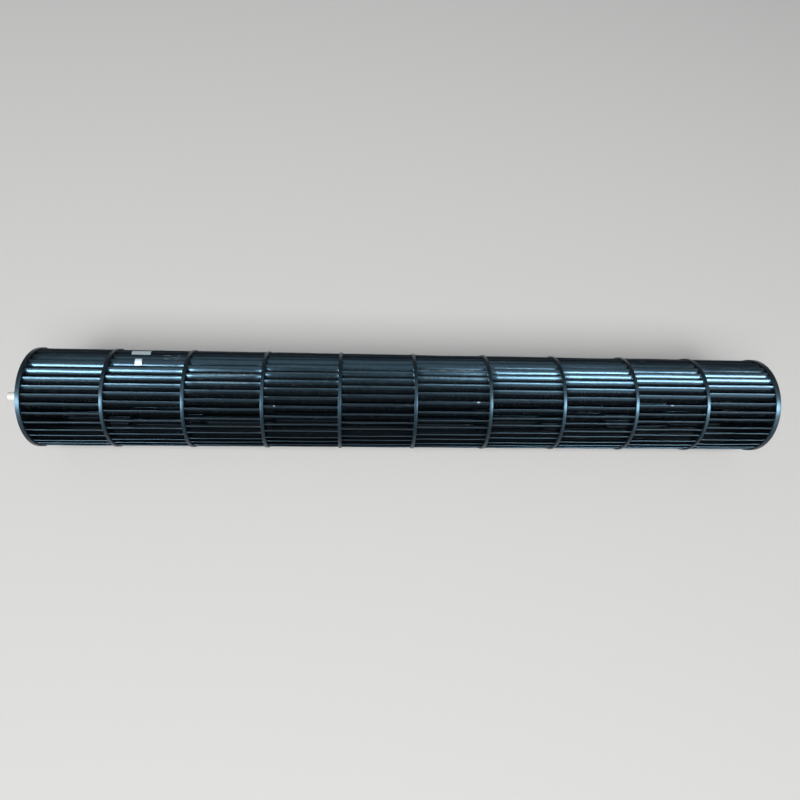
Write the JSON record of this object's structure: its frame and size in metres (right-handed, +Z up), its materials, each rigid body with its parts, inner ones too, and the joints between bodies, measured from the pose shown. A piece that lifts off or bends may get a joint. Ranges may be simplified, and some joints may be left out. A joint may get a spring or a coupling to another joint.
{
  "type": "cross flow fan wheel",
  "caption": "Long slim cross flow fan wheel: drums of forward-curved blades between flat rings, a stub shaft at one end and a rubber-mounted hub with a clamp screw at the other.",
  "frame": {"origin": "centre of the motor bore's mouth, in the plane of the motor end's outer face, on the axis of rotation", "axes": "X is the axis of rotation, horizontal as the wheel is installed; +X leaves through the motor end and the shaft end lies towards -X; +Z is up; the missing blade that gives access to the clamp screw faces +Y"},
  "size_m": [0.7708, 0.098, 0.098],
  "materials": {
    "black_plastic": "black glass-filled moulding, satin gloss, dusty and scuffed",
    "shaft_steel": "ground steel",
    "milky_nylon": "milky natural nylon",
    "bush_rubber": "matt black rubber",
    "boss_steel": "turned, dull zinc",
    "screw_steel": "zinc plated",
    "clip_steel": "bright spring steel"
  },
  "bodies": {
    "root": {"shaft_end_plate": "black_plastic", "blade_segment_01": "black_plastic", "blade_segment_02": "black_plastic", "blade_segment_03": "black_plastic", "blade_segment_04": "black_plastic", "blade_segment_05": "black_plastic", "blade_segment_06": "black_plastic", "blade_segment_07": "black_plastic", "blade_segment_08": "black_plastic", "blade_segment_09": "black_plastic", "motor_end_segment": "black_plastic", "shaft_pin": "shaft_steel", "shaft_sleeve": "milky_nylon", "rubber_bush": "bush_rubber", "hub_boss": "boss_steel", "clamp_screw": "screw_steel", "balance_clip_short": "clip_steel", "balance_clip_long": "clip_steel"}
  },
  "joints": []
}
